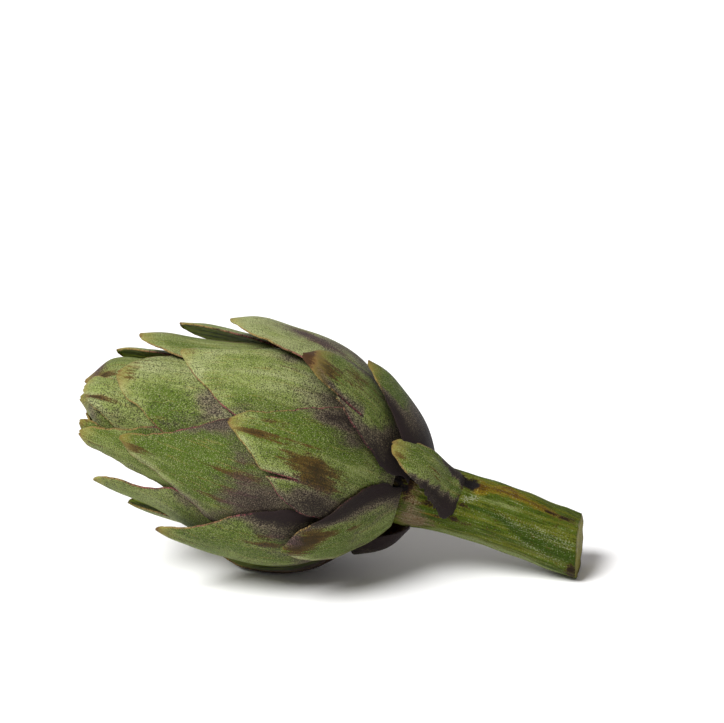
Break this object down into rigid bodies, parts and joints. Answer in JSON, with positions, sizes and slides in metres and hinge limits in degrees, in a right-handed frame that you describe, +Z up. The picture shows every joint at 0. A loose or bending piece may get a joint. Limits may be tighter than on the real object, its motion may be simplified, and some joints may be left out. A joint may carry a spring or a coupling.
{
  "type": "artichoke",
  "caption": "Globe artichoke lying on its side: overlapping pointed bracts round a closed bud, on a thick ribbed cut stem with one small leaf.",
  "frame": {"origin": "under the middle of the bounding box, on the surface the artichoke lies on", "axes": "+Z up; the head points towards -X and slightly up, the cut stem towards +X; -Y is the side with the stem leaf"},
  "size_m": [0.1802, 0.084, 0.0932],
  "materials": {
    "bract": "sage green leaf skin with a fine felt of down, purple-brown bases and dried orange-brown tips",
    "basal_bract": "old dark green leaf skin turning purple-black",
    "bud": "pale young leaf skin with browned tips",
    "stem": "ribbed yellow-green stalk skin with pale flecks and a fibrous cut end",
    "stem_leaf": "green leaf skin with torn purple-black edges"
  },
  "bodies": {
    "root": {"bract_01": "basal_bract", "bract_02": "basal_bract", "bract_03": "bract", "bract_04": "bract", "bract_05": "bract", "bract_06": "bract", "bract_07": "bract", "bract_08": "bract", "bract_09": "bract", "bract_10": "bract", "bract_11": "bract", "bract_12": "bract", "bract_13": "bract", "bract_14": "bract", "bract_15": "bract", "bract_16": "bract", "bract_17": "bract", "bract_18": "bract", "bract_19": "bract", "bract_20": "bract", "bract_21": "bract", "bract_22": "bract", "bract_23": "bract", "bract_24": "bract", "bract_25": "bract", "bract_26": "bract", "bract_27": "bract", "bract_28": "bract", "bract_29": "bract", "bract_30": "bract", "bract_31": "bract", "bract_32": "bract", "bud": "bud", "stem": "stem", "stem_leaf": "stem_leaf"}
  },
  "joints": []
}
